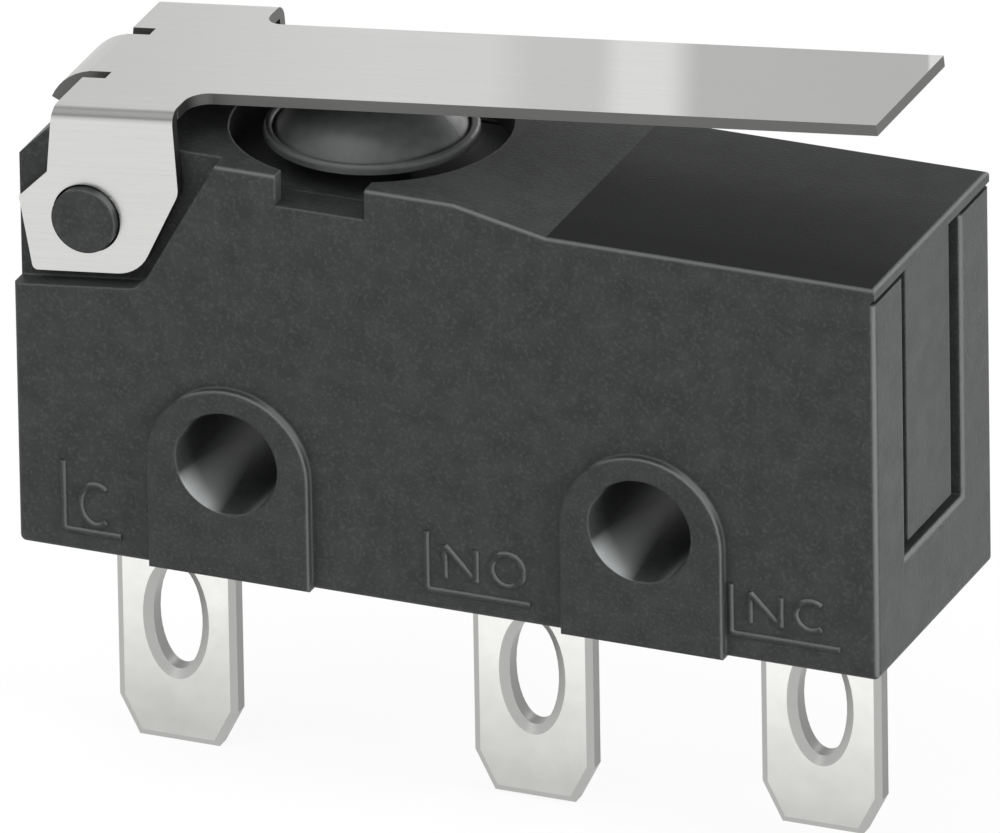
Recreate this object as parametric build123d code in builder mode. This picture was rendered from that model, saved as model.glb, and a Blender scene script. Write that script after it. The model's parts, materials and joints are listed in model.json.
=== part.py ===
from build123d import *

import os
from math import cos, radians, sin, sqrt, tan

# Subminiature snap-action switch with a hinge lever. Millimetres, +Z up, +X towards the lever's tip.
# The origin is on the axis of the left mounting hole, halfway through the depth of the case.

# ---- Driving dimensions ----

# Case
case_length = 19.8
case_depth = 6.5
case_height = 8.87          # base to the seam with the cover
side_wall = 0.9
end_wall = 0.95
floor_thickness = 1.0
edge_round = 0.15

# Mounting holes and the raised pads around them
hole_pitch = 9.5
hole_diameter = 2.35
hole_inset = 4.95           # left end to the left hole
hole_height = 2.72          # base to the holes' axes
pad_radius = 1.86
pad_drop = 0.17             # holes' axes down to the centres of the pads' arches
pad_rise = 0.2
pad_round = 0.06
slot_bevel = 0.08           # along the outer edges of the slot in the right end
seam_groove = 0.1           # groove under the cover across the right end: its height
seam_groove_depth = 0.12

# Recesses for the lever's ears, and the pivot bosses in them
recess_depth = 0.5
recess_gap = 0.26           # left below the ear, along its lower edge
recess_foot = 1.29          # pivot to the foot of the recess's sloping edge
recess_head = 3.06          # pivot to the sloping edge at the top of the cover
recess_round = 0.5
pivot_inset = 1.66           # left end to the pivot axis
pivot_drop = 1.09            # seam down to the pivot axis
boss_diameter = 1.46
running_gap = 0.05          # radial play of the lever on its bosses and of the plunger in its guide

# Cover
cover_low = 0.25            # thickness of the low part, above the seam
cover_high = 0.69           # height of the raised part, above the seam
raised_length = 10.17       # left end to the top of the slope
slope_run = 2.13
cover_bevel = 0.64
cover_round = 0.1
lip_depth = 0.5
lip_wall = 0.45
fit_gap = 0.05              # play of the cover in the case and of terminals in their slots
tongue_slot_width = 3.33
tongue_slot_foot = 2.2      # base to the lower end of the tongue's slot
tongue_thickness = 0.45
tongue_sink = 0.4           # end face in to the tongue
panel_sink = 0.12           # end face in to the raised panel on the tongue
panel_margin = 0.45         # tongue's slot to the panel, at the sides
panel_foot_margin = 0.22    # tongue's slot to the panel, at the foot

# Crater, notch and guide for the plunger
plunger_inset = 6.99        # left end to the plunger axis
crater_radius = 3.04
crater_sink = 0.03          # seam down to the crater's floor
web_thickness = 0.5
web_margin = 0.3            # web beyond the crater, lengthways
notch_width = 2.05
notch_shift = 0.15          # plunger axis to the middle of the notch, towards the lever's tip
guide_wall = 0.5
guide_length = 0.6

# Plunger
head_radius = 2.32
bead_radius = 0.11          # rounded bead along the head's rim
skirt = 0.1
stem_radius = 0.9
tip_round = 0.25
floor_gap = 0.05            # left between the head and the crater's floor when fully pressed
lever_gap = 0.04            # between the dome and the lever, on the plunger's axis

# Lever: sizes in its own flat frame, from the pivot axis
sheet = 0.25
rest_angle = 6.4
press_angle = 5.4
strip_top = 2.52            # pivot to the upper face
strip_width = 3.8
strip_reach = 18.07         # pivot to the tip
head_left = 0.48
head_right = 2.31
ear_gap = 0.06              # recess floor to the ear's inner face
fold_radius = 0.32
corner_radius = 0.45
ear_left = 1.52             # pivot to the shoulder on the left side
ear_heel = 1.41             # pivot to the lower left corner
ear_right = 2.22
ear_drop = 1.25             # pivot down to the ear's lower edge
ear_shoulder = 0.44         # pivot up to the shoulder on the left side
ear_hip = 0.64              # pivot up to the bend of the right side
ear_toe = 1.05              # pivot to the lower right corner
ear_hip_round = 0.5
ear_toe_round = 0.9
ear_heel_round = 0.12
ear_neck = 0.78             # pivot to the ear's left side above the shoulder
neck_rise = 0.6             # shoulder up to the neck
tab_width = 2.05
tab_gap = 0.35
tab_root = 0.05
tab_bend_start = 0.35
tab_bend_radius = 1.25
tab_bend_angle = 60

# Terminals
terminal_thickness = 0.5
terminal_width = 2.76
terminal_cut_width = 0.45
terminal_cut_height = 0.88
coin_width = 0.15           # coined slope along a terminal's edges, in the plane of its face
coin_depth = 0.08
eyelet_width = 1.54         # mouth of the hole, on the terminal's front face
eyelet_length = 2.85
eyelet_rise = 1.48          # terminal's end up to the mouth
funnel_width = 0.2          # slope from the mouth in to the hole
funnel_depth = 0.12
common_reach = 5.68         # base down to the terminal's end
open_reach = 5.6
closed_reach = 5.22
common_inset = 2.31         # left end to the common terminal
open_inset = 10.58          # left end to the normally open terminal
closed_inset = 2.58         # right end to the normally closed terminal
boss_gap = 0.15             # between the hole bosses and the terminals

# Contacts and blade
flange_thickness = 0.4
flange_width = 1.6
flange_rise = 0.3           # hole boss up to the normally open flange
contact_offset = 0.95       # second mounting hole to the contacts' axis
contact_radius = 0.7
contact_height = 0.3
contact_gap = 0.5
rivet_head = 0.35
touch_gap = 0.02
blade_thickness = 0.15
blade_width = 2.6
blade_overhang = 0.9        # contacts' axis to the blade's free end
knife_gap = 0.06            # blade's root to the bottom of its seat
knife_depth = 0.25
knife_play = 0.08           # above and below the blade in its seat
rail_width = 0.6            # blade beside the window
window_start = 1.4          # plunger axis to the near end of the window
window_length = 4.4
snap_width = 1.0            # width of the snap tongue inside the window
snap_drop = 0.75            # free end of the snap tongue below the blade
snap_sag = 0.25             # bow of the snap tongue below its chord
snap_gap = 0.12             # snap tongue to the anchor's hook
anchor_rise = 0.24          # hole boss up to the anchor arm
anchor_thickness = 0.35
anchor_width = 1.0
press_gap = 0.38            # plunger tip to the blade at rest

# ---- Levels and stations worked out from them ----

left = -hole_inset
right = left + case_length
middle = (left + right) / 2
base = -hole_height
seam = base + case_height
half_depth = case_depth / 2
half_cavity = half_depth - side_wall
recess_face = half_depth - recess_depth
holes = [0, hole_pitch]
pivot_x = left + pivot_inset
pivot_z = seam - pivot_drop
plunger_x = left + plunger_inset
common_x = left + common_inset
open_x = left + open_inset
closed_x = right - closed_inset
contact_x = hole_pitch + contact_offset

boss_top = pad_radius
open_flange = boss_top + flange_rise
open_face = open_flange + flange_thickness + contact_height
blade_bottom = open_face + contact_gap + rivet_head
blade_top = blade_bottom + blade_thickness
closed_face = blade_top + rivet_head + touch_gap
closed_flange = closed_face + contact_height

tilt = radians(rest_angle)
crater_floor = seam - crater_sink
press_travel = (plunger_x - pivot_x) * radians(press_angle)
head_bottom = crater_floor + floor_gap + press_travel
rim = head_bottom + skirt


def side_plane(y):
    """Plane of the length and the height at depth y, looking along +Y."""
    return Plane(origin=(0, y, 0), x_dir=(1, 0, 0), z_dir=(0, -1, 0))


def prism(width):
    """Extrude the pending side-plane sketch evenly to both sides of the middle plane."""
    return extrude(amount=width / 2, both=True)


def ear_recess_cutter():
    """Solid that cuts the ear recesses into both sides, open at the left end and at the top."""
    drop = pivot_z - (ear_drop + recess_gap) / cos(tilt)
    outside = left - case_depth
    toe = (outside, drop + (outside - pivot_x) * tan(tilt))
    foot = (pivot_x + recess_foot, drop + recess_foot * tan(tilt))
    lean = (recess_head - recess_foot) / (seam + cover_high - foot[1])
    top = seam + case_depth
    head = (foot[0] + lean * (top - foot[1]), top)
    with BuildPart() as cutter:
        with BuildSketch(side_plane(0)):
            with BuildLine():
                Polyline(toe, foot, head, (outside, top), close=True)
            make_face()
            fillet(vertices().sort_by_distance(foot)[0], recess_round)
        extrude(amount=case_depth, both=True)
        with BuildSketch(Plane.XZ.offset(-recess_face)):
            with Locations((middle, seam)):
                Rectangle(4 * case_length, 4 * case_length)
        extrude(amount=2 * recess_face, mode=Mode.SUBTRACT)
    return cutter.part


def hole_arches(centre_height):
    """Arch-shaped outlines around both mounting holes, with straight sides down to the base."""
    with BuildSketch() as arches:
        for x in holes:
            with Locations((x, centre_height)):
                Circle(pad_radius)
                Rectangle(2 * pad_radius, centre_height - base, align=(Align.CENTER, Align.MAX))
    return arches.sketch


# ---- Case ----

ear_recesses = ear_recess_cutter()

with BuildPart() as case:
    with BuildSketch(Plane.XY.offset(base)):
        with Locations((middle, 0)):
            Rectangle(case_length, case_depth)
    extrude(amount=case_height)
    base_face = case.faces().sort_by(Axis.Z)[0]
    fillet(case.edges().filter_by(Axis.Z) + base_face.edges(), edge_round)
    with BuildSketch(side_plane(0)):
        add(hole_arches(-pad_drop))
    prism(case_depth + 2 * pad_rise)
    pad_plane = half_depth + pad_rise
    pad_edges = case.edges().filter_by(lambda edge: abs(abs(edge.center().Y) - pad_plane) < 1e-4)
    fillet(pad_edges, pad_round)
    with BuildSketch(Plane.XY.offset(base + floor_thickness)):
        with Locations((middle, 0)):
            Rectangle(case_length - 2 * end_wall, 2 * half_cavity)
    extrude(amount=case_height, mode=Mode.SUBTRACT)
    # Columns that carry the mounting bores across the cavity.
    with BuildSketch(side_plane(0)):
        add(hole_arches(0))
    prism(2 * half_cavity)
    with BuildSketch(side_plane(0)):
        with Locations(*[(x, 0) for x in holes]):
            Circle(hole_diameter / 2)
    extrude(amount=case_depth, both=True, mode=Mode.SUBTRACT)
    # End slot that takes the cover's tongue.
    with BuildSketch(Plane.YZ.offset(right - 1.5 * end_wall)):
        with Locations((0, base + tongue_slot_foot)):
            Rectangle(tongue_slot_width, case_height, align=(Align.CENTER, Align.MIN))
    extrude(amount=2 * end_wall, mode=Mode.SUBTRACT)
    end_face = case.faces().sort_by(Axis.X)[-1]
    slot_edges = end_face.edges().filter_by(lambda edge: abs(edge.center().Y) < 0.6 * tongue_slot_width)
    slot_sides = slot_edges.filter_by(lambda edge: base + floor_thickness < edge.center().Z < seam - fit_gap)
    chamfer(slot_sides, slot_bevel)
    with BuildSketch(Plane.YZ.offset(right - seam_groove_depth)):
        with Locations((0, seam)):
            Rectangle(2 * case_depth, seam_groove, align=(Align.CENTER, Align.MAX))
    extrude(amount=end_wall, mode=Mode.SUBTRACT)
    # Slots for the terminals in the floor.
    with BuildSketch(Plane.XY.offset(base)):
        with Locations((common_x, 0), (open_x, 0), (closed_x, 0)):
            Rectangle(terminal_width + 2 * fit_gap, terminal_thickness + 2 * fit_gap)
    extrude(amount=floor_thickness, mode=Mode.SUBTRACT)
    add(ear_recesses, mode=Mode.SUBTRACT)
    for side in (-1, 1):
        with BuildSketch(side_plane(side * recess_face)):
            with Locations((pivot_x, pivot_z)):
                Circle(boss_diameter / 2)
        extrude(amount=-side * recess_depth)

case.part.label = "case"


# ---- Cover ----

high = seam + cover_high
low = seam + cover_low
slope_top = left + raised_length
web_bottom = crater_floor - web_thickness

with BuildPart() as cover:
    with BuildSketch(side_plane(0)):
        with BuildLine():
            Polyline(
                (left, seam),
                (left, high - cover_bevel),
                (left + cover_bevel, high),
                (slope_top, high),
                (slope_top + slope_run, low),
                (right, low),
                (right, seam),
                close=True,
            )
        make_face()
    prism(case_depth)
    rims = cover.edges().filter_by(lambda edge: edge.center().Z > seam + 0.6 * cover_low)
    side_rims = rims.filter_by(lambda edge: abs(edge.center().Y) > 0.9 * half_depth)
    end_rim = rims.filter_by(Axis.Y).sort_by(Axis.X)[-1:]
    fillet(side_rims.filter_by(lambda edge: edge.center().X > left) + end_rim, cover_round)
    # Lip that locates the cover in the case.
    with BuildSketch(Plane.XY.offset(seam - lip_depth)):
        with Locations((middle, 0)):
            lip = Rectangle(case_length - 2 * (end_wall + fit_gap), 2 * (half_cavity - fit_gap))
            offset(lip, amount=-lip_wall, kind=Kind.INTERSECTION, mode=Mode.SUBTRACT)
    extrude(amount=lip_depth)
    # End tongue, with a raised panel on its outer face.
    tongue_height = case_height - tongue_slot_foot
    with BuildSketch(Plane.YZ.offset(right - tongue_sink - tongue_thickness)):
        with Locations((0, seam)):
            tongue_width = tongue_slot_width - 2 * fit_gap
            Rectangle(tongue_width, tongue_height - fit_gap, align=(Align.CENTER, Align.MAX))
    extrude(amount=tongue_thickness)
    with BuildSketch(Plane.YZ.offset(right - tongue_sink)):
        with Locations((0, seam)):
            panel_width = tongue_slot_width - 2 * panel_margin
            panel_height = tongue_height - panel_foot_margin
            Rectangle(panel_width, panel_height, align=(Align.CENTER, Align.MAX))
    extrude(amount=tongue_sink - panel_sink)
    # Web under the crater, with the plunger's guide sleeve.
    with BuildSketch(Plane.XY.offset(web_bottom)):
        with Locations((plunger_x, 0)):
            Rectangle(2 * (crater_radius + web_margin), 2 * (half_cavity - fit_gap))
    extrude(amount=web_thickness + crater_sink)
    with BuildSketch(Plane.XY.offset(web_bottom - guide_length)):
        with Locations((plunger_x, 0)):
            Circle(stem_radius + running_gap + guide_wall)
    extrude(amount=guide_length)
    with BuildSketch(Plane.XY.offset(crater_floor)):
        with Locations((plunger_x, 0)):
            Circle(crater_radius)
    extrude(amount=case_height, mode=Mode.SUBTRACT)
    with BuildSketch(Plane.XY.offset(web_bottom - guide_length)):
        with Locations((plunger_x, 0)):
            Circle(stem_radius + running_gap)
    extrude(amount=case_height, mode=Mode.SUBTRACT)
    with BuildSketch(Plane.XY.offset(seam)):
        with Locations((plunger_x + notch_shift, 0)):
            Rectangle(notch_width, 2 * case_depth)
    extrude(amount=case_height, mode=Mode.SUBTRACT)
    add(ear_recesses, mode=Mode.SUBTRACT)

cover.part.label = "cover"


# ---- Plunger ----

under_side = pivot_z + (strip_top - sheet) / cos(tilt) + (plunger_x - pivot_x) * tan(tilt)
dome_top = under_side - lever_gap
dome_height = dome_top - rim
dome_reach = head_radius - 2 * bead_radius
dome_radius = (dome_height**2 + dome_reach**2) / (2 * dome_height)
dome_centre = dome_top - dome_radius
tip = blade_top + press_gap

with BuildPart() as plunger:
    with BuildSketch(Plane(origin=(plunger_x, 0, 0), x_dir=(1, 0, 0), z_dir=(0, -1, 0))):
        with BuildLine():
            quarter = dome_reach / 2
            crown = (quarter, dome_centre + sqrt(dome_radius**2 - quarter**2))
            ThreePointArc((0, dome_top), crown, (dome_reach, rim))
            bead_top = (head_radius - bead_radius, rim + bead_radius)
            ThreePointArc((dome_reach, rim), bead_top, (head_radius, rim))
            Polyline(
                (head_radius, rim),
                (head_radius, head_bottom),
                (stem_radius, head_bottom),
                (stem_radius, tip),
                (0, tip),
                (0, dome_top),
            )
        make_face()
    revolve(axis=Axis((plunger_x, 0, 0), (0, 0, 1)))
    fillet(plunger.faces().sort_by(Axis.Z)[0].edges(), tip_round)

plunger.part.label = "plunger"


# ---- Hinge lever ----

along = Vector(cos(tilt), 0, sin(tilt))
out = Vector(-sin(tilt), 0, cos(tilt))
pivot = Vector(pivot_x, 0, pivot_z)
lever_side = Plane(origin=pivot, x_dir=along, z_dir=(0, -1, 0))
lever_face = Plane(origin=pivot + strip_top * out, x_dir=along, z_dir=out)
channel_start = 2 * ear_left
lever_end = Plane(origin=pivot - channel_start * along, x_dir=(0, 1, 0), z_dir=along)
ear_outer = recess_face + ear_gap + sheet


def channel_section(half_width, top, rounding):
    """Half-open section of the folded head, from below the ears up to top."""
    with BuildSketch() as section:
        with Locations((0, top)):
            Rectangle(2 * half_width, 2 * (top + ear_drop), align=(Align.CENTER, Align.MAX))
        fillet(section.vertices().sort_by(Axis.Y)[-2:], rounding)
    return section.sketch


def tab_section():
    """Side view of the rear tab: a short flat root and a bend downwards."""
    bend_centre = (-tab_bend_start, strip_top - tab_bend_radius)
    inner_radius = tab_bend_radius - sheet
    root = tab_root + sheet
    with BuildSketch() as section:
        with BuildLine():
            outer = CenterArc(bend_centre, tab_bend_radius, 90, tab_bend_angle)
            inner = CenterArc(bend_centre, inner_radius, 90, tab_bend_angle)
            Line(outer @ 1, inner @ 1)
            Polyline(outer @ 0, (root, strip_top), (root, strip_top - sheet), inner @ 0)
        make_face()
    return section.sketch


with BuildPart() as hinge_lever:
    # The head and its ears, folded as a channel and trimmed to the ears' outline.
    with BuildSketch(lever_end):
        add(channel_section(ear_outer, strip_top, fold_radius))
        add(channel_section(ear_outer - sheet, strip_top - sheet, fold_radius - sheet), mode=Mode.SUBTRACT)
    extrude(amount=channel_start + head_right)
    with BuildSketch(lever_side):
        with BuildLine():
            Polyline(
                (-head_left, strip_top),
                (head_right, strip_top),
                (ear_right, ear_hip),
                (ear_toe, -ear_drop),
                (-ear_heel, -ear_drop),
                (-ear_left, ear_shoulder),
                (-ear_neck, ear_shoulder + neck_rise),
                close=True,
            )
        make_face()
        fillet(vertices().sort_by_distance((ear_right, ear_hip))[0], ear_hip_round)
        fillet(vertices().sort_by_distance((ear_toe, -ear_drop))[0], ear_toe_round)
        fillet(vertices().sort_by_distance((-ear_heel, -ear_drop))[0], ear_heel_round)
    extrude(amount=case_depth, both=True, mode=Mode.INTERSECT)
    with BuildSketch(lever_side):
        Circle(boss_diameter / 2 + running_gap)
    extrude(amount=case_depth, both=True, mode=Mode.SUBTRACT)
    # Relief slots beside the tab.
    slot_middle = (tab_width + tab_gap) / 2
    with BuildSketch(lever_face):
        with Locations((tab_root, slot_middle), (tab_root, -slot_middle)):
            Rectangle(2 * head_right, tab_gap, align=(Align.MAX, Align.CENTER))
    extrude(amount=-2 * sheet, mode=Mode.SUBTRACT)
    with BuildSketch(lever_side):
        add(tab_section())
    prism(tab_width)
    # The actuating strip, with rounded corners where it meets the head.
    with BuildSketch(lever_face):
        with Locations((head_right, 0)):
            Rectangle(2 * corner_radius, 2 * (ear_outer - fold_radius), align=(Align.MAX, Align.CENTER))
        with Locations((head_right - corner_radius, 0)):
            strip_length = strip_reach - head_right + corner_radius
            Rectangle(strip_length, strip_width, align=(Align.MIN, Align.CENTER))
        for side in (-1, 1):
            fillet(vertices().sort_by_distance((head_right, side * strip_width / 2))[0], corner_radius)
    extrude(amount=-sheet)

hinge_lever.part.label = "hinge_lever"


# ---- Terminals ----

def solder_tab(x, reach):
    """Flat solder tab below the base and through the floor, with its funnelled hole and coined edges."""
    half = terminal_width / 2
    end = base - reach
    top = base + floor_thickness
    front = -terminal_thickness / 2
    hole_middle = end + eyelet_rise + eyelet_length / 2
    with BuildPart() as tab:
        with BuildSketch(side_plane(0)):
            with BuildLine():
                Polyline(
                    (x - half, top),
                    (x - half, end + terminal_cut_height),
                    (x - half + terminal_cut_width, end),
                    (x + half - terminal_cut_width, end),
                    (x + half, end + terminal_cut_height),
                    (x + half, top),
                    close=True,
                )
            make_face()
        prism(terminal_thickness)
        for face in tab.faces().filter_by(Axis.Y):
            rims = face.edges().filter_by(lambda edge: edge.center().Z < base)
            chamfer(rims, coin_width, coin_depth, reference=face)
        with BuildSketch(side_plane(0)):
            with Locations((x, hole_middle)):
                Ellipse(eyelet_width / 2 - funnel_width, eyelet_length / 2 - funnel_width)
        extrude(amount=terminal_thickness, both=True, mode=Mode.SUBTRACT)
        for depth, inset in ((0, 0), (funnel_depth, funnel_width)):
            with BuildSketch(side_plane(front + depth)):
                with Locations((x, hole_middle)):
                    Ellipse(eyelet_width / 2 - inset, eyelet_length / 2 - inset)
        loft(mode=Mode.SUBTRACT)
    return tab.part


def upright(start, end, foot, top):
    """Upright strip of a terminal inside the case, in the plane of its solder tab."""
    with BuildPart() as strip:
        with BuildSketch(side_plane(0)):
            with Locations((start, foot)):
                Rectangle(end - start, top - foot, align=(Align.MIN, Align.MIN))
        prism(terminal_thickness)
    return strip.part


def shelf(start, end, foot, thickness, width):
    """Level strip of a terminal, folded out of its plane."""
    with BuildPart() as strip:
        with BuildSketch(Plane.XY.offset(foot)):
            with Locations((start, 0)):
                Rectangle(end - start, width, align=(Align.MIN, Align.CENTER))
        extrude(amount=thickness)
    return strip.part


floor_top = base + floor_thickness
half_terminal = terminal_width / 2
blade_middle = (blade_bottom + blade_top) / 2
common_edge = -pad_radius - boss_gap
knife_x = common_edge - knife_depth
blade_root = knife_x + knife_gap
window_near = plunger_x + window_start
window_far = window_near + window_length
hook_face = window_near + snap_gap
anchor_level = boss_top + anchor_rise
snap_end = blade_bottom - snap_drop

with BuildPart() as common_terminal:
    add(solder_tab(common_x, common_reach))
    wall_side = max(common_x - half_terminal, left + end_wall + fit_gap)
    add(upright(wall_side, common_edge, floor_top, blade_top + 3 * knife_play))
    with BuildSketch(side_plane(0)):
        with Locations((common_edge, blade_middle)):
            knife_height = blade_thickness + 2 * knife_play
            Rectangle(knife_depth, knife_height, align=(Align.MAX, Align.CENTER))
    extrude(amount=terminal_thickness, both=True, mode=Mode.SUBTRACT)
    # Arm over the hole boss, with the hook that holds the snap tongue.
    arm_start = common_edge - terminal_thickness
    add(shelf(arm_start, hook_face, anchor_level, anchor_thickness, anchor_width))
    hook_height = snap_end + blade_thickness - anchor_level
    add(shelf(hook_face - anchor_thickness, hook_face, anchor_level, hook_height, anchor_width))

common_terminal.part.label = "common_terminal"

flange_near = open_x - half_terminal
flange_far = contact_x + flange_width / 2
rivet_hole = contact_radius / 2

with BuildPart() as normally_open_terminal:
    add(solder_tab(open_x, open_reach))
    add(upright(open_x - half_terminal, open_x + half_terminal, floor_top, open_flange))
    add(shelf(flange_near, flange_far, open_flange, flange_thickness, flange_width))
    with BuildSketch(Plane.XY.offset(open_flange)):
        with Locations((contact_x, 0)):
            Circle(rivet_hole)
    extrude(amount=flange_thickness, mode=Mode.SUBTRACT)

normally_open_terminal.part.label = "normally_open_terminal"

blade_end = contact_x + blade_overhang
closed_edge = max(hole_pitch + pad_radius, blade_end) + boss_gap
closed_top = closed_flange + flange_thickness

with BuildPart() as normally_closed_terminal:
    add(solder_tab(closed_x, closed_reach))
    add(upright(closed_edge, closed_x + half_terminal, floor_top, closed_top))
    closed_far = closed_x + half_terminal
    closed_near = contact_x - flange_width / 2
    add(shelf(closed_near, closed_far, closed_flange, flange_thickness, flange_width))
    with BuildSketch(Plane.XY.offset(closed_flange)):
        with Locations((contact_x, 0)):
            Circle(rivet_hole)
    extrude(amount=flange_thickness, mode=Mode.SUBTRACT)

normally_closed_terminal.part.label = "normally_closed_terminal"


# ---- Movable spring ----

with BuildPart() as movable_spring:
    with BuildSketch(Plane.XY.offset(blade_bottom)):
        with Locations((blade_root, 0)):
            Rectangle(blade_end - blade_root, blade_width, align=(Align.MIN, Align.CENTER))
        fillet(vertices(), blade_width / 6)
        with Locations((window_near, 0)):
            window_width = blade_width - 2 * rail_width
            window_align = (Align.MIN, Align.CENTER)
            Rectangle(window_length, window_width, align=window_align, mode=Mode.SUBTRACT)
        with Locations((contact_x, 0)):
            Circle(rivet_hole, mode=Mode.SUBTRACT)
    extrude(amount=blade_thickness)
    # Snap tongue: bowed strip from the far end of the window down to the anchor's hook.
    with BuildSketch(side_plane(0)):
        root_x = window_far + blade_thickness
        free_x = hook_face + snap_gap
        bow = ((root_x + free_x) / 2, (blade_top + snap_end + blade_thickness) / 2 - snap_sag)
        with BuildLine():
            upper = ThreePointArc((root_x, blade_top), bow, (free_x, snap_end + blade_thickness))
            low_bow = (bow[0], bow[1] - blade_thickness)
            lower = ThreePointArc((root_x, blade_bottom), low_bow, (free_x, snap_end))
            Line(upper @ 0, lower @ 0)
            Line(upper @ 1, lower @ 1)
        make_face()
    prism(snap_width)

movable_spring.part.label = "movable_spring"


# ---- Contacts ----

def rivet_column(levels):
    """Round contact on the contacts' axis, from (level, radius) steps going up."""
    with BuildPart() as column:
        for (foot, radius), (top, _) in zip(levels, levels[1:]):
            with BuildSketch(Plane.XY.offset(foot)):
                with Locations((contact_x, 0)):
                    Circle(radius)
            extrude(amount=top - foot)
    return column.part


with BuildPart() as normally_open_contact:
    open_seat = open_flange + flange_thickness
    add(rivet_column([(open_flange, rivet_hole), (open_seat, contact_radius), (open_face, 0)]))
    fillet(normally_open_contact.faces().sort_by(Axis.Z)[-1].edges(), contact_height / 3)

normally_open_contact.part.label = "normally_open_contact"

with BuildPart() as normally_closed_contact:
    add(rivet_column([(closed_face, contact_radius), (closed_flange, rivet_hole), (closed_top, 0)]))
    fillet(normally_closed_contact.faces().sort_by(Axis.Z)[0].edges(), contact_height / 3)

normally_closed_contact.part.label = "normally_closed_contact"

with BuildPart() as movable_contact:
    rivet_bottom = blade_bottom - rivet_head
    rivet_top = blade_top + rivet_head
    rivet_levels = [
        (rivet_bottom, contact_radius),
        (blade_bottom, rivet_hole),
        (blade_top, contact_radius),
        (rivet_top, 0),
    ]
    add(rivet_column(rivet_levels))
    end_faces = movable_contact.faces().sort_by(Axis.Z)
    fillet(end_faces[0].edges() + end_faces[-1].edges(), rivet_head / 3)

movable_contact.part.label = "movable_contact"


# ---- Export ----

pieces = [
    case,
    cover,
    plunger,
    hinge_lever,
    common_terminal,
    normally_open_terminal,
    normally_closed_terminal,
    movable_spring,
    movable_contact,
    normally_open_contact,
    normally_closed_contact,
]

os.makedirs("parts", exist_ok=True)
for piece in pieces:
    export_step(piece.part, f"parts/{piece.part.label}.step")
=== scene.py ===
import json
from math import cos, pi, radians, sin

import bpy
from mathutils import Matrix, Vector


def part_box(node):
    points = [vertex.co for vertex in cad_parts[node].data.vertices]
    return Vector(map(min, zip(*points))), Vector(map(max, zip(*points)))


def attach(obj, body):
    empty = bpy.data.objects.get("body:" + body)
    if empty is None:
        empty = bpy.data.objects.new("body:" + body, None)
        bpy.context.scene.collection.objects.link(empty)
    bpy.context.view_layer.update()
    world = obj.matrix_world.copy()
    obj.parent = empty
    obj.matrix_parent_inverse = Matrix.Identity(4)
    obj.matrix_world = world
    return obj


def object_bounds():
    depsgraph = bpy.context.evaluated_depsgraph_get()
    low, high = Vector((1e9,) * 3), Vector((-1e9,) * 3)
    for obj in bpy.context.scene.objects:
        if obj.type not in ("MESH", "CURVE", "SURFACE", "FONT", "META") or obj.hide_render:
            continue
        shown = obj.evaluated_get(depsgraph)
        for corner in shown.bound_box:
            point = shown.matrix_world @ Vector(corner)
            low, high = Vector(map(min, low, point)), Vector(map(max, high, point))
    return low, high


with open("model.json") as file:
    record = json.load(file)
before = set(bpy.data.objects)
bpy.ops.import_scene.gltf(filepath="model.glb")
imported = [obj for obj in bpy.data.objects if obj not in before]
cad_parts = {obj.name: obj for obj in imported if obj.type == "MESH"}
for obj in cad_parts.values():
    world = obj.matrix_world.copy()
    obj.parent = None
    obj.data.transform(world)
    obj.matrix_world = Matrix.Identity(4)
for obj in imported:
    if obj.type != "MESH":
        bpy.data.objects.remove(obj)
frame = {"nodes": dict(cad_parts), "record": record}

bl_info = {
    "name": "Micro Switch Dressing",
    "version": (1, 0, 0),
    "blender": (4, 5, 0),
    "location": "3D View > Sidebar > Micro Switch",
    "description": "Finishes, terminal marks, lights and camera for a snap-action micro switch",
    "category": "Object",
}

MM = 0.001
HOUSING = "housing"
CAD_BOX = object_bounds()
CASE_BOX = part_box("case")
FRONT_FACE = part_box("cover")[0].y
EAR_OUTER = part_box("hinge_lever")[1].y
LEVER_TILT = radians(6.4)  # slope of the lever's sheet at rest
NOTCH_INSET = 7.14 * MM  # case's left end to the middle of the notch in the cover
NOTCH_HALF = 1.0 * MM
LOW_TOP = 0.25 * MM  # joint up to the low part of the cover's top
POLYESTER_IOR = 1.52
POLYACETAL_IOR = 1.48
NOISE_LOW, NOISE_HIGH = 0.3, 0.7  # span that most of a noise texture's values lie in

# Tones of the case's plastic, as shares of its colour.
CLOUD_DARK, CLOUD_PALE = 0.85, 1.15
GLASS_TONE = 2.0
# Painted shade on the cover's low top, under the lever.
TOP_SHADE_TONE = 0.4
# Painted highlight on edges that face the lamps at the upper right.
EDGE_HIGHLIGHT_TONE = 3.3
# Painted highlight at the lower left of each bore's mouth.
BORE_HIGHLIGHT_TONE = 10.0

# Tones of the lever's steel, as shares of its colour.
LINE_DARK, LINE_PALE = 0.92, 1.08
# Painted shade on the outside of the folds.
FOLD_SHADE_TONE = 0.3
SHEAR_TONE = 0.24
# Painted reflections: bands along the sheet, from its pivot end to its tip: place as a share of the length,
# and tone.
SHEET_REFLECTION_BANDS = (
    (0.0, 0.78),
    (0.4, 0.9),
    (0.48, 0.9),
    (0.55, 0.77),
    (0.61, 0.77),
    (0.65, 1.0),
    (0.69, 1.0),
    (0.74, 0.63),
    (1.0, 0.61),
)
REFLECTION_SLANT = 0.4  # how far the bands lie across the sheet, per length of its width
LINE_STRETCH = 50  # length of a rolling line, in spacings

# How far below the case's base the terminals start to grow darker towards their tips, and where they are
# fully dark.
TIP_START, TIP_END = 1.8 * MM, 5.2 * MM

# Light of the white walls and of the ceiling, and the heights between which one turns into the other.
WALL_LIGHT, CEILING_LIGHT = 0.7, 0.5
WALL_TOP, CEILING_FOOT = radians(17), radians(34)
FLOOR_HALF = 1.5


# ---- Settings ----


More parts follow.
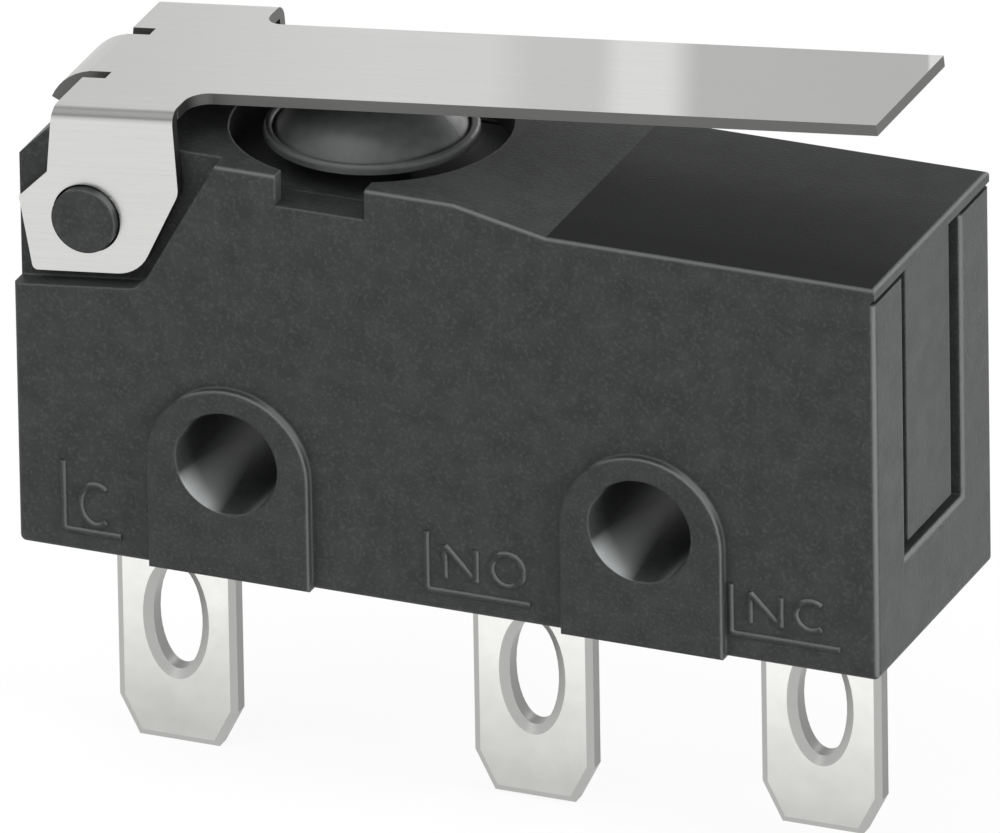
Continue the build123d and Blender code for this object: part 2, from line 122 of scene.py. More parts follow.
class FinishSettings(bpy.types.PropertyGroup):
    """Colours and surface grain of the switch."""

    plastic_colour: bpy.props.StringProperty(
        name="Case Plastic", description="Colour of the moulded case and cover, as hex", default="#2F3030"
    )
    plastic_grain: bpy.props.FloatProperty(
        name="Plastic Grain", description="Spacing of the mould texture", default=0.08 * MM, unit="LENGTH"
    )
    # Width of the painted highlight on edges that face the lamps.
    edge_highlight_width: bpy.props.FloatProperty(
        name="Edge Wear", description="Width of the paler rubbed edges", default=0.085 * MM, unit="LENGTH"
    )
    plunger_colour: bpy.props.StringProperty(
        name="Plunger Plastic", description="Colour of the plunger, as hex", default="#3A3B3B"
    )
    lever_colour: bpy.props.StringProperty(
        name="Lever Steel", description="Colour of the lever's stainless strip, as hex", default="#D5D5D3"
    )
    roll_line: bpy.props.FloatProperty(
        name="Roll Lines", description="Spacing of the strip's rolling lines", default=0.05 * MM,
        unit="LENGTH",
    )
    silver_colour: bpy.props.StringProperty(
        name="Silver Plating", description="Colour of the terminals' plating, as hex", default="#F9F9F6"
    )
    copper_colour: bpy.props.StringProperty(
        name="Spring Alloy", description="Colour of the copper spring, as hex", default="#D9A07A"
    )


class MarkSettings(bpy.types.PropertyGroup):
    """Moulded terminal marks on the front of the case."""

    stroke: bpy.props.FloatProperty(
        name="Stroke", description="Width of a moulded line", default=0.15 * MM, unit="LENGTH"
    )
    relief: bpy.props.FloatProperty(
        name="Relief", description="Height of a moulded line above the case", default=0.06 * MM, unit="LENGTH"
    )


class StageSettings(bpy.types.PropertyGroup):
    """Camera, lamps and floor."""

    azimuth: bpy.props.FloatProperty(
        name="Azimuth", description="Camera to the right of the front", default=radians(22.99),
        subtype="ANGLE",
    )
    elevation: bpy.props.FloatProperty(
        name="Elevation", description="Camera above the horizon", default=radians(25.0), subtype="ANGLE"
    )
    roll: bpy.props.FloatProperty(
        name="Roll", description="Camera's turn about its own axis", default=radians(-0.96), subtype="ANGLE"
    )
    distance: bpy.props.FloatProperty(
        name="Distance", description="Camera to the aim point", default=0.7, unit="LENGTH"
    )
    view_width: bpy.props.FloatProperty(
        name="View Width", description="Width seen at the aim point", default=21.27 * MM, unit="LENGTH"
    )
    aim: bpy.props.FloatVectorProperty(
        name="Aim", description="Point that the camera looks at",
        default=(5.105 * MM, -0.534 * MM, 0.695 * MM), subtype="TRANSLATION",
    )
    floor_colour: bpy.props.StringProperty(
        name="Floor", description="Colour of the floor, as hex", default="#F0F0EF"
    )


# ---- Small helpers ----


def linear(hex_colour):
    """sRGB hex to a linear colour with alpha."""
    parts = [int(hex_colour[i : i + 2], 16) / 255 for i in (1, 3, 5)]
    return tuple(c / 12.92 if c <= 0.04045 else ((c + 0.055) / 1.055) ** 2.4 for c in parts) + (1.0,)


def shade(colour, factor):
    """A linear colour made deeper or paler."""
    return tuple(min(1.0, c * factor) for c in colour[:3]) + (1.0,)


def add_node(tree, kind, inputs=None, **settings):
    """Add a node, set its properties, set or link its inputs by name or number, and give its outputs."""
    node = tree.nodes.new(kind)
    for key, value in settings.items():
        setattr(node, key, value)
    for key, value in (inputs or {}).items():
        if isinstance(value, bpy.types.NodeSocket):
            tree.links.new(value, node.inputs[key])
        else:
            node.inputs[key].default_value = value
    return node.outputs


def new_material(name):
    """Material with an empty node tree."""
    material = bpy.data.materials.new(name)
    material.use_nodes = True
    material.node_tree.nodes.clear()
    return material, material.node_tree


def finish(nodes, material):
    """Give CAD nodes one material in every slot."""
    for name in nodes:
        data = frame["nodes"][name].data
        data.materials.clear()
        data.materials.append(material)


# ---- Materials ----


def bore_masks(tree, place):
    """Masks of the bores' walls, and of the wedge at the lower left of each mouth that gets a painted
    highlight.
    """
    level = add_node(tree, "ShaderNodeVectorMath", {0: place, 1: (1, 0, 1)}, operation="MULTIPLY")[0]
    depth = add_node(tree, "ShaderNodeSeparateXYZ", {0: place})["Y"]
    inward = add_node(tree, "ShaderNodeMath", {0: depth, 1: CAD_BOX[0].y}, operation="SUBTRACT")[0]
    narrowing = 0.05 / MM
    closing = add_node(tree, "ShaderNodeMath", {0: inward, 1: narrowing}, operation="MULTIPLY")[0]
    wall = 0.01 * MM
    inside = painted_highlight = 0.0
    for bore in [m for m in frame["record"]["mounts"] if m["kind"] == "bore"]:
        x, _, z = bore["pos_m"]
        radius = bore["dims"]["r_mm"] * MM
        away = add_node(tree, "ShaderNodeVectorMath", {0: level, 1: (x, 0, z)}, operation="SUBTRACT")[0]
        reach = add_node(tree, "ShaderNodeVectorMath", {0: away}, operation="LENGTH")["Value"]
        near = add_node(tree, "ShaderNodeMath", {0: reach, 1: radius + wall}, operation="LESS_THAN")[0]
        lower_left = (-0.64 / radius, 0, -0.77 / radius)
        lean = add_node(
            tree, "ShaderNodeVectorMath", {0: away, 1: lower_left}, operation="DOT_PRODUCT"
        )["Value"]
        score = add_node(tree, "ShaderNodeMath", {0: lean, 1: closing}, operation="SUBTRACT")[0]
        wedge = add_node(tree, "ShaderNodeMapRange", {0: score, 1: 0.84, 2: 0.97})[0]
        patch = add_node(tree, "ShaderNodeMath", {0: wedge, 1: near}, operation="MULTIPLY")[0]
        inside = add_node(tree, "ShaderNodeMath", {0: inside, 1: near}, operation="MAXIMUM")[0]
        painted_highlight = add_node(tree, "ShaderNodeMath", {0: painted_highlight, 1: patch}, operation="MAXIMUM")[0]
    return inside, painted_highlight


def cover_joint(tree, place):
    """One along the flush joint of case and cover, where no edge stands free, and nought elsewhere.

    The notch in the cover bares the case's edge, so it is left out.
    """
    axes = add_node(tree, "ShaderNodeSeparateXYZ", {0: place})
    reach = 0.14 * MM
    at_seam = add_node(
        tree, "ShaderNodeMath", {0: axes["Z"], 1: CASE_BOX[1].z, 2: reach}, operation="COMPARE"
    )[0]
    notch = CASE_BOX[0].x + NOTCH_INSET
    in_notch = add_node(
        tree, "ShaderNodeMath", {0: axes["X"], 1: notch, 2: NOTCH_HALF}, operation="COMPARE"
    )[0]
    outside = add_node(tree, "ShaderNodeMath", {0: 1.0, 1: in_notch}, operation="SUBTRACT")[0]
    return add_node(tree, "ShaderNodeMath", {0: at_seam, 1: outside}, operation="MULTIPLY")[0]


def glass_filled_polyester(looks):
    """Black glass-filled PBT from a spark-eroded mould.

    The mould leaves an even fine grain, drawn coarser than the real one so that it shows,
    and a deeper, rougher one on the cover's low top, whose colour is darkened towards the
    front as painted shade under the lever. Glass near the skin clouds and speckles it. Upper
    and right edges that face the lamps get a painted highlight, the lower left of each bore's
    mouth gets a painted highlight, and core pins leave the bores smooth.
    """
    material, tree = new_material("moulded_glass_filled_polyester")
    coords = add_node(tree, "ShaderNodeTexCoord")
    place = coords["Object"]
    grain = looks.plastic_grain
    base = linear(looks.plastic_colour)
    fine = add_node(
        tree, "ShaderNodeTexNoise", {"Vector": place, "Scale": 1 / grain, "Detail": 3.0, "Roughness": 0.6}
    )[0]
    cloud_size = 7 * grain
    cloud = add_node(tree, "ShaderNodeTexNoise", {"Vector": place, "Scale": 1 / cloud_size, "Detail": 3.0})[0]
    clouded = add_node(tree, "ShaderNodeMapRange", {0: cloud, 1: NOISE_LOW, 2: NOISE_HIGH})[0]
    clouds = add_node(
        tree, "ShaderNodeMix", {0: clouded, 6: shade(base, CLOUD_DARK), 7: shade(base, CLOUD_PALE)},
        data_type="RGBA",
    )[2]
    glassy = add_node(tree, "ShaderNodeMapRange", {0: fine, 1: 0.5, 2: 0.72, 4: 0.6})[0]
    speckled = add_node(
        tree, "ShaderNodeMix", {0: glassy, 6: clouds, 7: shade(base, GLASS_TONE)}, data_type="RGBA"
    )[2]

    upward = add_node(tree, "ShaderNodeSeparateXYZ", {0: coords["Normal"]})["Z"]
    facing_up = add_node(tree, "ShaderNodeMath", {0: upward, 1: 0.99}, operation="GREATER_THAN")[0]
    axes = add_node(tree, "ShaderNodeSeparateXYZ", {0: place})
    top = CASE_BOX[1].z + LOW_TOP
    at_top = add_node(tree, "ShaderNodeMath", {0: axes["Z"], 1: top, 2: 0.1 * MM}, operation="COMPARE")[0]
    low_top = add_node(tree, "ShaderNodeMath", {0: facing_up, 1: at_top}, operation="MULTIPLY")[0]
    # Painted shade: the cover's low top grows darker towards the front, under the lever; it is also rougher
    # there.
    depth = add_node(tree, "ShaderNodeMapRange", {0: axes["Y"], 1: 1.5 * MM, 2: -2.5 * MM, 3: 0.25})[0]
    shade_and_erosion = add_node(tree, "ShaderNodeMath", {0: low_top, 1: depth}, operation="MULTIPLY")[0]
    shaded_top = add_node(
        tree, "ShaderNodeMix", {0: shade_and_erosion, 6: speckled, 7: shade(base, TOP_SHADE_TONE)}, data_type="RGBA"
    )[2]

    flat = add_node(tree, "ShaderNodeNewGeometry")["Normal"]
    rounded = add_node(tree, "ShaderNodeBevel", {"Radius": looks.edge_highlight_width}, samples=4)[0]
    joint = cover_joint(tree, place)
    tilt = add_node(tree, "ShaderNodeVectorMath", {0: rounded}, operation="ABSOLUTE")[0]
    tilts = add_node(tree, "ShaderNodeSeparateXYZ", {0: tilt})
    larger = add_node(tree, "ShaderNodeMath", {0: tilts["X"], 1: tilts["Y"]}, operation="MAXIMUM")[0]
    largest = add_node(tree, "ShaderNodeMath", {0: larger, 1: tilts["Z"]}, operation="MAXIMUM")[0]
    corner = add_node(tree, "ShaderNodeMapRange", {0: largest, 1: 0.96, 2: 0.84})[0]
    # Painted highlight: rounded edges that face the lamps at the upper right are made paler.
    upper_right = (0.8, 0, 0.8)
    outward = add_node(
        tree, "ShaderNodeVectorMath", {0: rounded, 1: upper_right}, operation="DOT_PRODUCT"
    )["Value"]
    lit_side = add_node(tree, "ShaderNodeMapRange", {0: outward, 1: 0.1, 2: 0.3})[0]
    lit_edge = add_node(tree, "ShaderNodeMath", {0: corner, 1: lit_side}, operation="MULTIPLY")[0]
    free = add_node(tree, "ShaderNodeMath", {0: 1.0, 1: joint}, operation="SUBTRACT")[0]
    painted_highlight = add_node(tree, "ShaderNodeMath", {0: lit_edge, 1: free}, operation="MULTIPLY")[0]
    edge_highlighted = add_node(
        tree, "ShaderNodeMix", {0: painted_highlight, 6: shaded_top, 7: shade(base, EDGE_HIGHLIGHT_TONE)}, data_type="RGBA"
    )[2]
    # Painted highlight at the lower left of each bore's mouth.
    bore, wedge = bore_masks(tree, place)
    colour = add_node(
        tree, "ShaderNodeMix", {0: wedge, 6: edge_highlighted, 7: shade(base, BORE_HIGHLIGHT_TONE)}, data_type="RGBA"
    )[2]

    dull = add_node(tree, "ShaderNodeMapRange", {0: fine, 1: NOISE_LOW, 2: NOISE_HIGH, 3: 0.38, 4: 0.5})[0]
    duller = add_node(tree, "ShaderNodeMix", {0: shade_and_erosion, 2: dull, 3: 0.8})[0]
    roughness = add_node(tree, "ShaderNodeMix", {0: bore, 2: duller, 3: 0.5})[0]
    skin = add_node(tree, "ShaderNodeMath", {0: 1.0, 1: bore}, operation="SUBTRACT")[0]
    relief = add_node(tree, "ShaderNodeMath", {0: fine, 1: skin}, operation="MULTIPLY")[0]
    smooth = add_node(tree, "ShaderNodeMix", {0: joint, 4: rounded, 5: flat}, data_type="VECTOR")[1]
    grain_depth = 0.009 * MM
    normal = add_node(
        tree, "ShaderNodeBump", {"Strength": 1.0, "Distance": grain_depth, "Height": relief, "Normal": smooth}
    )[0]
    shader = add_node(
        tree, "ShaderNodeBsdfPrincipled",
        {
            "Base Color": colour, "Roughness": roughness, "Normal": normal,
            "IOR": POLYESTER_IOR, "Specular IOR Level": 0.1,
        },
    )[0]
    add_node(tree, "ShaderNodeOutputMaterial", {"Surface": shader})
    return material


def moulded_polyacetal(looks):
    """Black polyacetal from a smooth mould: a soft shine with the haze of a rubbed sliding part."""
    material, tree = new_material("moulded_polyacetal")
    place = add_node(tree, "ShaderNodeTexCoord")["Object"]
    haze_size = 0.25 * MM
    haze = add_node(tree, "ShaderNodeTexNoise", {"Vector": place, "Scale": 1 / haze_size, "Detail": 4.0})[0]
    base = linear(looks.plunger_colour)
    tones = add_node(
        tree, "ShaderNodeMix", {0: haze, 6: shade(base, 0.7), 7: shade(base, 1.4)}, data_type="RGBA"
    )[2]
    roughness = add_node(
        tree, "ShaderNodeMapRange", {0: haze, 1: NOISE_LOW, 2: NOISE_HIGH, 3: 0.36, 4: 0.46}
    )[0]
    relief = add_node(tree, "ShaderNodeBump", {"Strength": 0.5, "Distance": 0.003 * MM, "Height": haze})[0]
    shader = add_node(
        tree, "ShaderNodeBsdfPrincipled",
        {
            "Base Color": tones, "Roughness": roughness, "Normal": relief,
            "IOR": POLYACETAL_IOR, "Specular IOR Level": 0.32,
        },
    )[0]
    add_node(tree, "ShaderNodeOutputMaterial", {"Surface": shader})
    return material


def sheared_edge(tree, coords):
    """One on the lever's sheared edges, and nought on its rolled faces."""
    turned = add_node(
        tree, "ShaderNodeVectorRotate", {"Vector": coords["Normal"], "Angle": LEVER_TILT},
        rotation_type="Y_AXIS",
    )[0]
    normal = add_node(tree, "ShaderNodeSeparateXYZ", {0: turned})
    sizes = {}
    for axis in "XY":
        sizes[axis] = add_node(tree, "ShaderNodeMath", {0: normal[axis]}, operation="ABSOLUTE")[0]
    side = add_node(tree, "ShaderNodeSeparateXYZ", {0: coords["Object"]})["Y"]
    off_axis = add_node(tree, "ShaderNodeMath", {0: side}, operation="ABSOLUTE")[0]
    endways = add_node(tree, "ShaderNodeMath", {0: sizes["X"], 1: 0.6}, operation="GREATER_THAN")[0]
    sideways = add_node(tree, "ShaderNodeMath", {0: sizes["Y"], 1: 0.7}, operation="GREATER_THAN")[0]
    level = add_node(tree, "ShaderNodeMath", {0: sizes["Y"], 1: 0.5}, operation="LESS_THAN")[0]
    low = add_node(tree, "ShaderNodeMath", {0: normal["Z"], 1: -0.5}, operation="LESS_THAN")[0]
    sheet_side = EAR_OUTER - 0.45 * MM
    ear_inner = EAR_OUTER - 0.27 * MM
    on_sheet = add_node(tree, "ShaderNodeMath", {0: off_axis, 1: sheet_side}, operation="LESS_THAN")[0]
    on_ear = add_node(tree, "ShaderNodeMath", {0: off_axis, 1: ear_inner}, operation="GREATER_THAN")[0]
    sheet_edge = add_node(tree, "ShaderNodeMath", {0: on_sheet, 1: sideways}, operation="MULTIPLY")[0]
    downward = add_node(tree, "ShaderNodeMath", {0: level, 1: low}, operation="MULTIPLY")[0]
    ear_edge = add_node(tree, "ShaderNodeMath", {0: on_ear, 1: downward}, operation="MULTIPLY")[0]
    edge = add_node(tree, "ShaderNodeMath", {0: endways, 1: sheet_edge}, operation="MAXIMUM")[0]
    return add_node(tree, "ShaderNodeMath", {0: edge, 1: ear_edge}, operation="MAXIMUM")[0]


def rolled_stainless(looks):
    """Cold-rolled stainless strip, sheared and folded.

    The rolls leave fine lines, drawn coarser than the real ones so that they show. Broad
    bands of tone on the sheet are painted reflections. Shearing leaves the edges dull and
    dark, and folding roughens the outside of the bends, which also carry painted shade.
    """
    material, tree = new_material("cold_rolled_stainless_strip")
    coords = add_node(tree, "ShaderNodeTexCoord")
    line = looks.roll_line
    base = linear(looks.lever_colour)
    stretched = add_node(
        tree, "ShaderNodeMapping",
        {
            "Vector": coords["Object"], "Rotation": (0, -LEVER_TILT, 0),
            "Scale": (LINE_STRETCH * line, line, line),
        },
        vector_type="TEXTURE",
    )[0]
    lines = add_node(tree, "ShaderNodeTexNoise", {"Vector": stretched, "Scale": 1.0, "Detail": 4.0})[0]
    lined = add_node(
        tree, "ShaderNodeMix", {0: lines, 6: shade(base, LINE_DARK), 7: shade(base, LINE_PALE)},
        data_type="RGBA",
    )[2]

    # Painted reflections: broad bands of tone across the sheet, along its length.
    axes = add_node(tree, "ShaderNodeSeparateXYZ", {0: coords["Object"]})
    slant = add_node(tree, "ShaderNodeMath", {0: axes["Y"], 1: REFLECTION_SLANT}, operation="MULTIPLY")[0]
    along = add_node(tree, "ShaderNodeMath", {0: axes["X"], 1: slant}, operation="ADD")[0]
    span = add_node(tree, "ShaderNodeMapRange", {0: along, 1: CAD_BOX[0].x, 2: CAD_BOX[1].x})[0]
    bands = add_node(tree, "ShaderNodeValToRGB", {"Fac": span})["Color"]
    bands.node.color_ramp.interpolation = "EASE"
    stops = bands.node.color_ramp.elements
    for _ in SHEET_REFLECTION_BANDS[1:]:
        stops.new(0.5)
    # The ramp's own end stop stays white, and shows as a pale triangle at the tip's back corner.
    for stop, (at, tone) in zip(stops, SHEET_REFLECTION_BANDS):
        stop.position = at
        stop.color = (tone, tone, tone, 1.0)

    upright = add_node(tree, "ShaderNodeSeparateXYZ", {0: coords["Normal"]})["Y"]
    lean = add_node(tree, "ShaderNodeMath", {0: upright}, operation="ABSOLUTE")[0]
    sheet = add_node(tree, "ShaderNodeMapRange", {0: lean, 1: 0.4, 2: 0.1})[0]
    reflection_banded = add_node(
        tree, "ShaderNodeMix", {0: sheet, 6: lined, 7: bands}, data_type="RGBA", blend_type="MULTIPLY"
    )[2]
    # Painted shade on the outside of the folds, where the steel is also rougher.
    folding = add_node(tree, "ShaderNodeMapRange", {0: lean, 1: 0.2, 2: 0.5})[0]
    folded = add_node(tree, "ShaderNodeMapRange", {0: lean, 1: 0.98, 2: 0.88})[0]
    bend = add_node(tree, "ShaderNodeMath", {0: folding, 1: folded}, operation="MULTIPLY")[0]
    fold_shaded = add_node(
        tree, "ShaderNodeMix", {0: bend, 6: reflection_banded, 7: shade(base, FOLD_SHADE_TONE)}, data_type="RGBA"
    )[2]
    edge = sheared_edge(tree, coords)
    colour = add_node(
        tree, "ShaderNodeMix", {0: edge, 6: fold_shaded, 7: shade(base, SHEAR_TONE)}, data_type="RGBA"
    )[2]

    satin = add_node(tree, "ShaderNodeMapRange", {0: lines, 1: NOISE_LOW, 2: NOISE_HIGH, 3: 0.26, 4: 0.36})[0]
    spoiled = add_node(tree, "ShaderNodeMath", {0: edge, 1: bend}, operation="MAXIMUM")[0]
    roughness = add_node(tree, "ShaderNodeMix", {0: spoiled, 2: satin, 3: 0.5})[0]
    relief = add_node(tree, "ShaderNodeBump", {"Strength": 0.5, "Distance": 0.0006 * MM, "Height": lines})[0]
    shader = add_node(
        tree, "ShaderNodeBsdfPrincipled",
        {"Base Color": colour, "Metallic": 1.0, "Roughness": roughness, "Normal": relief},
    )[0]
    add_node(tree, "ShaderNodeOutputMaterial", {"Surface": shader})
    return material


def plated_metal(name, colour, roughness, patch, edge_tone, tip_tone=1.0):
    """Stamped and plated metal.

    Faces are bright with soft tarnish, coined slopes and sheared edges are duller,
    and solder tabs grow darker towards their tips.
    """
    material, tree = new_material(name)
    coords = add_node(tree, "ShaderNodeTexCoord")
    base = linear(colour)
    patches = add_node(
        tree, "ShaderNodeTexNoise", {"Vector": coords["Object"], "Scale": 1 / patch, "Detail": 3.0}
    )[0]
    height = add_node(tree, "ShaderNodeSeparateXYZ", {0: coords["Object"]})["Z"]
    below = CASE_BOX[0].z
    # Darker towards the solder tabs' tips.
    tip = add_node(tree, "ShaderNodeMapRange", {0: height, 1: below - TIP_START, 2: below - TIP_END})[0]
    tip_darkened = add_node(
        tree, "ShaderNodeMix", {0: tip, 6: base, 7: shade(base, tip_tone)}, data_type="RGBA"
    )[2]
    tarnish = add_node(
        tree, "ShaderNodeMapRange", {0: patches, 1: NOISE_LOW, 2: NOISE_HIGH, 3: 0.93, 4: 1.0}
    )[0]
    tones = add_node(
        tree, "ShaderNodeMix", {0: 1.0, 6: tip_darkened, 7: tarnish}, data_type="RGBA", blend_type="MULTIPLY"
    )[2]
    upright = add_node(tree, "ShaderNodeSeparateXYZ", {0: coords["Normal"]})["Y"]
    lean = add_node(tree, "ShaderNodeMath", {0: upright}, operation="ABSOLUTE")[0]
    flat = add_node(tree, "ShaderNodeMapRange", {0: lean, 1: 0.9, 2: 0.97})[0]
    sloped = add_node(tree, "ShaderNodeMapRange", {0: lean, 1: 0.4, 2: 0.7})[0]
    coined_tone = 1.9 * edge_tone
    coined = add_node(
        tree, "ShaderNodeMix", {0: flat, 6: shade(base, coined_tone), 7: tones}, data_type="RGBA"
    )[2]
    sheared = add_node(
        tree, "ShaderNodeMix", {0: sloped, 6: shade(base, edge_tone), 7: coined}, data_type="RGBA"
    )[2]
    dull = add_node(
        tree, "ShaderNodeMapRange",
        {0: patches, 1: NOISE_LOW, 2: NOISE_HIGH, 3: roughness + 0.05, 4: roughness - 0.03},
    )[0]
    relief = add_node(tree, "ShaderNodeBump", {"Strength": 0.5, "Distance": 0.001 * MM, "Height": patches})[0]
    shader = add_node(
        tree, "ShaderNodeBsdfPrincipled",
        {"Base Color": sheared, "Metallic": 1.0, "Roughness": dull, "Normal": relief},
    )[0]
    add_node(tree, "ShaderNodeOutputMaterial", {"Surface": shader})
    return material


class SWITCH_OT_finish_mouldings(bpy.types.Operator):
    """Give the case, the cover and the plunger their black moulded finishes"""

    bl_idname = "switch.finish_mouldings"
    bl_label = "Finish Mouldings"

    def execute(self, context):
        looks = context.scene.switch_finish
        finish(["case", "cover"], glass_filled_polyester(looks))
        finish(["plunger"], moulded_polyacetal(looks))
        return {"FINISHED"}


class SWITCH_OT_finish_metals(bpy.types.Operator):
    """Give the lever, the terminals, the spring and the contacts their metal finishes"""

    bl_idname = "switch.finish_metals"
    bl_label = "Finish Metals"

    def execute(self, context):
        looks = context.scene.switch_finish
        finish(["hinge_lever"], rolled_stainless(looks))
        silver = plated_metal(
            "silver_plated_stamped_brass", looks.silver_colour,
            roughness=0.3, patch=0.6 * MM, edge_tone=0.25, tip_tone=0.62,
        )
        finish(["common_terminal", "normally_open_terminal", "normally_closed_terminal"], silver)
        copper = plated_metal(
            "rolled_beryllium_copper", looks.copper_colour, roughness=0.3, patch=0.4 * MM, edge_tone=0.9
        )
        finish(["movable_spring"], copper)
        contact = plated_metal(
            "headed_silver_alloy", looks.silver_colour, roughness=0.22, patch=0.2 * MM, edge_tone=0.9
        )
        finish(["movable_contact", "normally_open_contact", "normally_closed_contact"], contact)
        return {"FINISHED"}


# ---- Terminal marks ----


def glyph(letter):
    """Strokes of a letter in a unit box, as lists of points."""
    if letter == "N":
        return [[(0, 0), (0, 1)], [(0, 1), (1, 0)], [(1, 0), (1, 1)]]
    start, end = {"C": (50, 310), "O": (0, 360)}[letter]
    steps = 28
    angles = [radians(start + (end - start) * i / steps) for i in range(steps + 1)]
    return [[(0.5 + 0.5 * cos(a), 0.5 + 0.5 * sin(a)) for a in angles]]


def mark_strokes(corner, upright, foot, letters):
    """Strokes of a corner bracket and its letters, in mm from the case's left end and base.

    Each letter has its left and lower side, its width and its height.
    """
    x, z = corner
    strokes = [[(x, z + upright), (x, z)], [(x, z), (x + foot, z)]]
    for letter, left, low, width, height in letters:
        strokes += [[(left + u * width, low + v * height) for u, v in stroke] for stroke in glyph(letter)]
    return strokes


class SWITCH_OT_add_marks(bpy.types.Operator):
    """Add the raised terminal marks C, NO and NC beside the pads"""

    bl_idname = "switch.add_marks"
    bl_label = "Add Terminal Marks"

    def execute(self, context):
        settings = context.scene.switch_marks
        left, base = CASE_BOX[0].x, CASE_BOX[0].z
        radius = settings.stroke / 2
        sunk = FRONT_FACE + radius - settings.relief
        marks = {
            "common_mark": mark_strokes((1.07, 0.5), 1.6, 1.33, [("C", 1.46, 0.68, 0.72, 0.95)]),
            "normally_open_mark": mark_strokes(
                (9.46, 0.47), 1.35, 2.38, [("N", 9.88, 0.8, 0.72, 0.76), ("O", 10.95, 0.82, 0.74, 0.76)]
            ),
            "normally_closed_mark": mark_strokes(
                (16.44, 0.61), 1.15, 2.5, [("N", 16.88, 0.92, 0.7, 0.7), ("C", 17.92, 0.95, 0.72, 0.68)]
            ),
        }
        for name, strokes in marks.items():
            curve = bpy.data.curves.new(name, "CURVE")
            curve.dimensions = "3D"
            curve.bevel_depth = radius
            curve.bevel_resolution = 4
            curve.use_fill_caps = True
            for stroke in strokes:
                spline = curve.splines.new("POLY")
                spline.points.add(len(stroke) - 1)
                for point, (x, z) in zip(spline.points, stroke):
                    point.co = (left + x * MM, sunk, base + z * MM, 1.0)
            mark = bpy.data.objects.new(name, curve)
            context.scene.collection.objects.link(mark)
            curve.materials.append(bpy.data.materials["moulded_glass_filled_polyester"])
            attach(mark, HOUSING)
        return {"FINISHED"}


# ---- Stage ----


def floor_material(colour):
    """Matt white sweep: lit like paper, and close to white for the eye and in reflections."""
    material, tree = new_material("matt_white_paper")
    paper = add_node(tree, "ShaderNodeBsdfDiffuse", {"Color": linear(colour)})[0]
    glow = add_node(tree, "ShaderNodeEmission", {"Color": (1, 1, 1, 1), "Strength": 1.0})[0]
    near_white = 0.9
    share = add_node(tree, "ShaderNodeMath", {0: seen_rays(tree), 1: near_white}, operation="MULTIPLY")[0]
    both = add_node(tree, "ShaderNodeMixShader", {0: share, 1: paper, 2: glow})[0]
    add_node(tree, "ShaderNodeOutputMaterial", {"Surface": both})
    return material


def seen_rays(tree):
    """One where the eye, a reflection or a clear piece looks, and nought for light that falls on things."""
    path = add_node(tree, "ShaderNodeLightPath")
    seen = path["Is Camera Ray"]
    for ray in ("Is Glossy Ray", "Is Transmission Ray"):
        seen = add_node(tree, "ShaderNodeMath", {0: seen, 1: path[ray]}, operation="MAXIMUM")[0]
    return seen


def light_the_world(scene):
    """White walls low down and a dim ceiling light the object, and the eye sees plain white."""
    world = bpy.data.worlds.new("studio")
    scene.world = world
    world.use_nodes = True
    tree = world.node_tree
    tree.nodes.clear()
    direction = add_node(tree, "ShaderNodeTexCoord")["Generated"]
    height = add_node(tree, "ShaderNodeSeparateXYZ", {0: direction})["Z"]
    room = add_node(
        tree, "ShaderNodeMapRange",
        {0: height, 1: sin(WALL_TOP), 2: sin(CEILING_FOOT), 3: WALL_LIGHT, 4: CEILING_LIGHT},
    )[0]
    strength = add_node(tree, "ShaderNodeMix", {0: seen_rays(tree), 2: room, 3: 1.0})[0]
    glow = add_node(tree, "ShaderNodeBackground", {"Color": (1, 1, 1, 1), "Strength": strength})[0]
    add_node(tree, "ShaderNodeOutputWorld", {"Surface": glow})


def softbox(name, target, direction, distance, size, radiance, mirrored=True):
    """Square area lamp of a given radiance, facing the target. Reflections show it only if it is mirrored."""
    data = bpy.data.lights.new(name, "AREA")
    data.shape = "SQUARE"
    data.size = size
    data.energy = radiance * pi * size * size
    lamp = bpy.data.objects.new(name, data)
    bpy.context.scene.collection.objects.link(lamp)
    toward = Vector(direction).normalized()
    lamp.location = target + toward * distance
    lamp.rotation_mode = "QUATERNION"
    lamp.rotation_quaternion = toward.to_track_quat("Z", "Y")
    lamp.visible_camera = False
    lamp.visible_glossy = mirrored


def camera_axes(stage):
    """Right, up and back axes of the camera, with its roll."""
    a, e = stage.azimuth, stage.elevation
    back = Vector((sin(a) * cos(e), -cos(a) * cos(e), sin(e)))
    level = Vector((cos(a), sin(a), 0.0))
    upright = back.cross(level)
    right = level * cos(stage.roll) + upright * sin(stage.roll)
    return right, back.cross(right), back


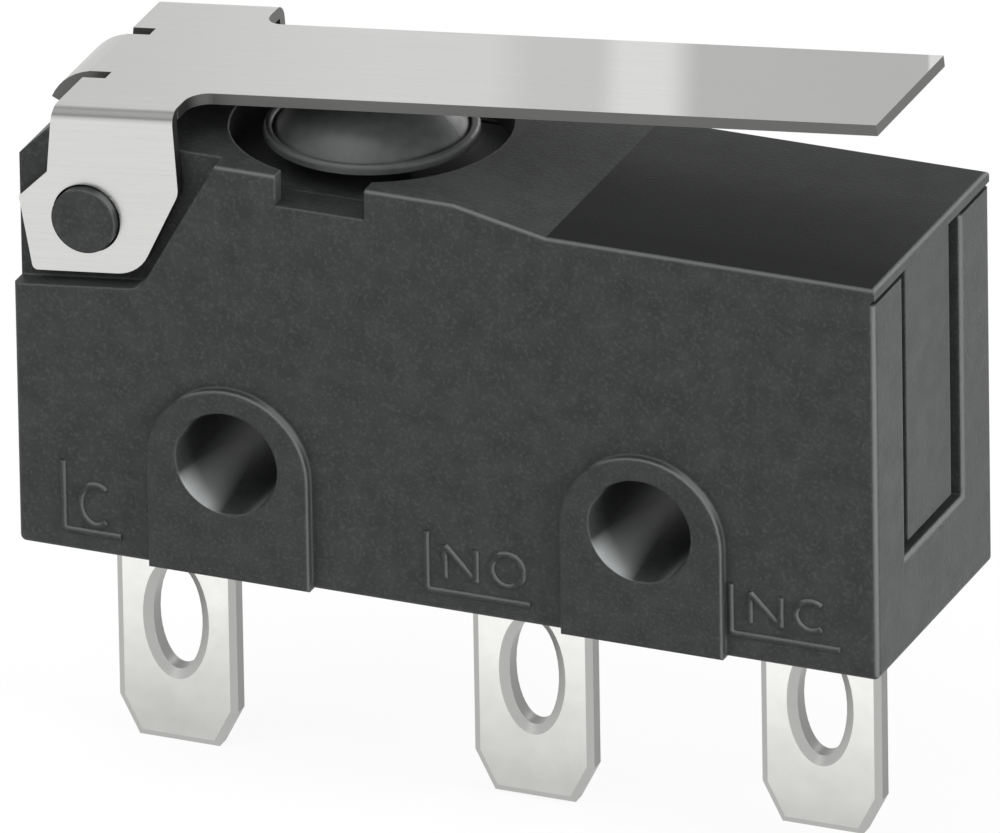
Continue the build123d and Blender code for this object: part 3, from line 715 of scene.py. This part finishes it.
class SWITCH_OT_build_stage(bpy.types.Operator):
    """Make the floor, the soft lamps and the camera"""

    bl_idname = "switch.build_stage"
    bl_label = "Build Stage"

    def execute(self, context):
        scene = context.scene
        stage = scene.switch_stage
        light_the_world(scene)

        half = FLOOR_HALF
        ground = CAD_BOX[0].z
        mesh = bpy.data.meshes.new("floor")
        corners = [(-half, -half, ground), (half, -half, ground), (half, half, ground), (-half, half, ground)]
        mesh.from_pydata(corners, [], [(0, 1, 2, 3)])
        floor = bpy.data.objects.new("floor", mesh)
        scene.collection.objects.link(floor)
        mesh.materials.append(floor_material(stage.floor_colour))

        target = (CAD_BOX[0] + CAD_BOX[1]) / 2
        softbox("overhead_softbox", target, (-0.2, -0.42, 0.9), distance=0.2, size=0.16, radiance=2.5)
        softbox(
            "right_softbox", target, (0.98, -0.1, 0.16), distance=0.2, size=0.12, radiance=17.0,
            mirrored=False,
        )
        softbox(
            "front_softbox", target, (-0.78, -0.55, 0.33), distance=0.07, size=0.04, radiance=3.4,
            mirrored=False,
        )
        softbox("rear_softbox", target, (0.166, 0.966, 0.2), distance=0.25, size=0.06, radiance=8.0)

        right, up, back = camera_axes(stage)
        data = bpy.data.cameras.new("camera")
        data.lens = data.sensor_width * stage.distance / stage.view_width
        data.clip_start = 0.01
        data.clip_end = 10.0
        camera = bpy.data.objects.new("camera", data)
        scene.collection.objects.link(camera)
        turn = Matrix((right, up, back)).transposed().to_4x4()
        camera.matrix_world = Matrix.Translation(Vector(stage.aim) + back * stage.distance) @ turn
        scene.camera = camera
        scene.view_settings.view_transform = "Standard"
        return {"FINISHED"}


# ---- Panel and registration ----


class SWITCH_PT_panel(bpy.types.Panel):
    """Sidebar panel that lists the steps and their settings"""

    bl_label = "Micro Switch"
    bl_idname = "SWITCH_PT_panel"
    bl_space_type = "VIEW_3D"
    bl_region_type = "UI"
    bl_category = "Micro Switch"

    def draw(self, context):
        column = self.layout.column()
        for operator in OPERATORS:
            column.operator(operator.bl_idname)
        for group in ("switch_finish", "switch_marks", "switch_stage"):
            settings = getattr(context.scene, group)
            for name in settings.bl_rna.properties.keys():
                if name not in ("rna_type", "name"):
                    column.prop(settings, name)


OPERATORS = (
    SWITCH_OT_finish_mouldings,
    SWITCH_OT_finish_metals,
    SWITCH_OT_add_marks,
    SWITCH_OT_build_stage,
)
CLASSES = (FinishSettings, MarkSettings, StageSettings) + OPERATORS + (SWITCH_PT_panel,)


def register():
    for cls in CLASSES:
        bpy.utils.register_class(cls)
    bpy.types.Scene.switch_finish = bpy.props.PointerProperty(type=FinishSettings)
    bpy.types.Scene.switch_marks = bpy.props.PointerProperty(type=MarkSettings)
    bpy.types.Scene.switch_stage = bpy.props.PointerProperty(type=StageSettings)


def unregister():
    for group in ("switch_finish", "switch_marks", "switch_stage"):
        delattr(bpy.types.Scene, group)
    for cls in reversed(CLASSES):
        bpy.utils.unregister_class(cls)


def main():
    register()
    bpy.ops.switch.finish_mouldings()
    bpy.ops.switch.finish_metals()
    bpy.ops.switch.add_marks()
    bpy.ops.switch.build_stage()
    bpy.context.view_layer.update()


if __name__ == "__main__":
    main()
